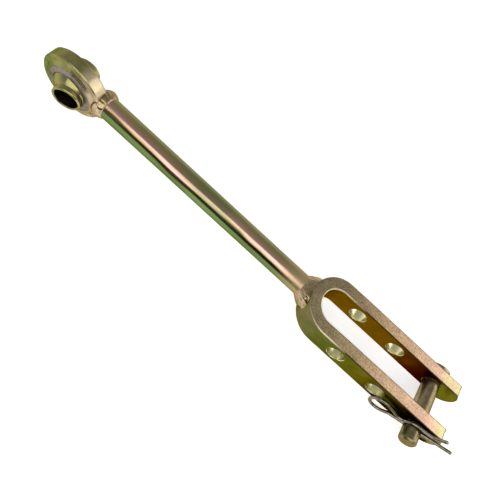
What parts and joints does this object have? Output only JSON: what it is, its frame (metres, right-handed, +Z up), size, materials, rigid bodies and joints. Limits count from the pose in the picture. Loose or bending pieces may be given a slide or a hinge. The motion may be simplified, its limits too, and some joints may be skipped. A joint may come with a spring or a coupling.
{
  "type": "tractor side link",
  "caption": "Fixed-length lift link: swivel-ball eye on a round rod, welded to a drilled flat-bar fork with a headed cross pin held by a bent-wire spring clip.",
  "frame": {"origin": "centre of the swivel ball in the eye", "axes": "+X along the rod from the eye to the fork, +Y along the cross pin towards its head, +Z up across the flat bar's width"},
  "size_m": [0.4655, 0.0788, 0.0578],
  "materials": {
    "forged_eye": "yellow zinc plate over a forged ring, satin with green and gold tints",
    "race_steel": "dull grey pink plate on a rolled race",
    "ball_steel": "bright yellow zinc plate on a polished ball",
    "rod_steel": "yellow zinc plate on drawn bar, olive to pink",
    "weld_metal": "plated weld bead, rippled, pink gold",
    "fork_steel": "yellow zinc plate on flat bar, smooth faces and grainy edges",
    "pin_steel": "yellow zinc plate on a turned pin",
    "clip_wire": "yellow zinc plate on spring wire"
  },
  "bodies": {
    "link": {"eye_ring": "forged_eye", "ball_race": "race_steel", "rod": "rod_steel", "eye_weld": "weld_metal", "fork": "fork_steel", "fork_weld": "weld_metal"},
    "ball": {"swivel_ball": "ball_steel"},
    "pin": {"clevis_pin": "pin_steel"},
    "clip": {"spring_clip": "clip_wire"}
  },
  "joints": [
    {"name": "ball_tilt", "type": "hinge", "parent": "link", "child": "ball", "pos_m": [0, 0, 0], "axis": [0.0041, -0.0836, 0.9965], "range_deg": [-30.5, 0.5]},
    {"name": "pin_spin", "type": "hinge", "parent": "link", "child": "pin", "pos_m": [0.4038, 0.004, 0], "axis": [0, 1, 0], "continuous": true},
    {"name": "clip_pull", "type": "slide", "parent": "pin", "child": "clip", "axis": [-0.9225, 0, -0.3859], "range_m": [0, 0.046], "deforming": ["spring_clip"]}
  ]
}
